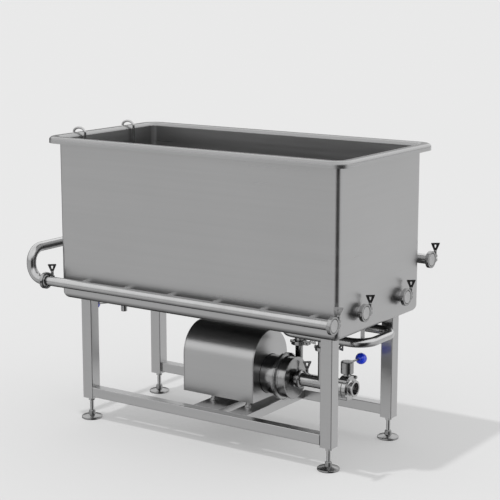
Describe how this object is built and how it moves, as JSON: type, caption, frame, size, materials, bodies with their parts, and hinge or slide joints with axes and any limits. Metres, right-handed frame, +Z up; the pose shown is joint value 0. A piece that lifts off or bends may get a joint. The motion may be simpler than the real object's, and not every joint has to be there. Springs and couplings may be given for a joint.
{
  "type": "open wash tank with circulation pump",
  "caption": "Open rectangular steel wash tank on a leg frame, with pipe headers on both long sides, a pump under the floor and a lever outlet valve.",
  "frame": {"origin": "on the floor, under the centre of the whole object's box", "axes": "+Z up, +X along the long side towards the outlet valve, -Y towards the low header at the front"},
  "size_m": [1.4654, 0.7947, 1.183],
  "materials": {
    "satin": "satin brushed sheet and box section",
    "tube": "fine ground tube",
    "cast": "bead-blasted casting",
    "dark": "dark enamel",
    "blue": "glossy"
  },
  "bodies": {
    "tank": {"tank_basin": "satin", "drain_neck": "satin", "rail_front": "satin", "rail_rear": "satin", "motor_bar_left": "satin", "motor_bar_right": "satin", "motor_shroud": "satin", "loop_hanger": "satin", "leg_front_left": "satin", "leg_rear_left": "satin", "leg_front_right": "satin", "leg_rear_right": "satin", "front_header": "tube", "rear_header": "tube", "left_bend": "tube", "suction_tee": "tube", "discharge_loop": "tube", "valve_body": "tube", "small_drain": "tube", "foot_spindle_front_left": "tube", "foot_spindle_rear_left": "tube", "foot_spindle_front_right": "tube", "foot_spindle_rear_right": "tube", "foot_pad_front_left": "tube", "foot_pad_rear_left": "tube", "foot_pad_front_right": "tube", "foot_pad_rear_right": "tube", "pump_adapter": "cast", "pump_casing": "cast", "pump_cover": "cast", "bend_clamp": "cast", "front_cap_clamp": "cast", "rear_cap_clamp": "cast", "nozzle_front_clamp": "cast", "nozzle_rear_clamp": "cast", "suction_clamp": "cast", "drain_clamp": "cast", "riser_clamp": "cast", "front_cap": "tube", "rear_cap": "tube", "nozzle_front_cap": "tube", "nozzle_rear_cap": "tube", "pump_motor": "dark"},
    "outlet_handle": {"valve_disc": "tube", "valve_handle": "cast", "valve_knob": "blue"},
    "small_handle": {"small_lever": "cast", "small_knob": "blue"},
    "impeller": {"pump_impeller": "tube"},
    "rod_front": {"hook_rod_front": "tube"},
    "rod_rear": {"hook_rod_rear": "tube"},
    "bend_nut": {"bend_wing_nut": "cast"},
    "front_cap_nut": {"front_cap_wing_nut": "cast"},
    "rear_cap_nut": {"rear_cap_wing_nut": "cast"},
    "nozzle_front_nut": {"nozzle_front_wing_nut": "cast"},
    "nozzle_rear_nut": {"nozzle_rear_wing_nut": "cast"},
    "suction_nut": {"suction_wing_nut": "cast"},
    "drain_nut": {"drain_wing_nut": "cast"},
    "riser_nut": {"riser_wing_nut": "cast"}
  },
  "joints": [
    {"name": "outlet_turn", "type": "hinge", "parent": "tank", "child": "outlet_handle", "pos_m": [0.5526, -0.00275, 0.25], "axis": [0, 0, -1], "range_deg": [0, 90]},
    {"name": "small_turn", "type": "hinge", "parent": "tank", "child": "small_handle", "pos_m": [-0.4454, -0.10275, 0.477], "axis": [0, -1, 0], "range_deg": [0, 78]},
    {"name": "impeller_spin", "type": "hinge", "parent": "tank", "child": "impeller", "pos_m": [0.2446, -0.00275, 0.25], "axis": [1, 0, 0], "continuous": true},
    {"name": "rod_front_lift", "type": "slide", "parent": "tank", "child": "rod_front", "axis": [0, 0, 1], "range_m": [0, 0.6]},
    {"name": "rod_rear_lift", "type": "slide", "parent": "tank", "child": "rod_rear", "axis": [0, 0, 1], "range_m": [0, 0.6]},
    {"name": "bend_nut_turn", "type": "hinge", "parent": "tank", "child": "bend_nut", "pos_m": [-0.6384, -0.31675, 0.582], "axis": [0, 0, 1], "continuous": true},
    {"name": "front_cap_nut_turn", "type": "hinge", "parent": "tank", "child": "front_cap_nut", "pos_m": [0.6988, -0.31675, 0.582], "axis": [0, 0, 1], "continuous": true},
    {"name": "rear_cap_nut_turn", "type": "hinge", "parent": "tank", "child": "rear_cap_nut", "pos_m": [0.7121, 0.38725, 0.703], "axis": [0, 0, 1], "continuous": true},
    {"name": "nozzle_front_nut_turn", "type": "hinge", "parent": "tank", "child": "nozzle_front_nut", "pos_m": [0.7141, -0.11975, 0.592], "axis": [0, 0, 1], "continuous": true},
    {"name": "nozzle_rear_nut_turn", "type": "hinge", "parent": "tank", "child": "nozzle_rear_nut", "pos_m": [0.7141, 0.19025, 0.592], "axis": [0, 0, 1], "continuous": true},
    {"name": "suction_nut_turn", "type": "hinge", "parent": "tank", "child": "suction_nut", "pos_m": [0.3451, 0.04375, 0.25], "axis": [0, 0, 1], "continuous": true},
    {"name": "drain_nut_turn", "type": "hinge", "parent": "tank", "child": "drain_nut", "pos_m": [0.4981, -0.00275, 0.388], "axis": [0, 1, 0], "continuous": true},
    {"name": "riser_nut_turn", "type": "hinge", "parent": "tank", "child": "riser_nut", "pos_m": [0.3346, 0.06225, 0.3755], "axis": [0, 1, 0], "continuous": true}
  ]
}
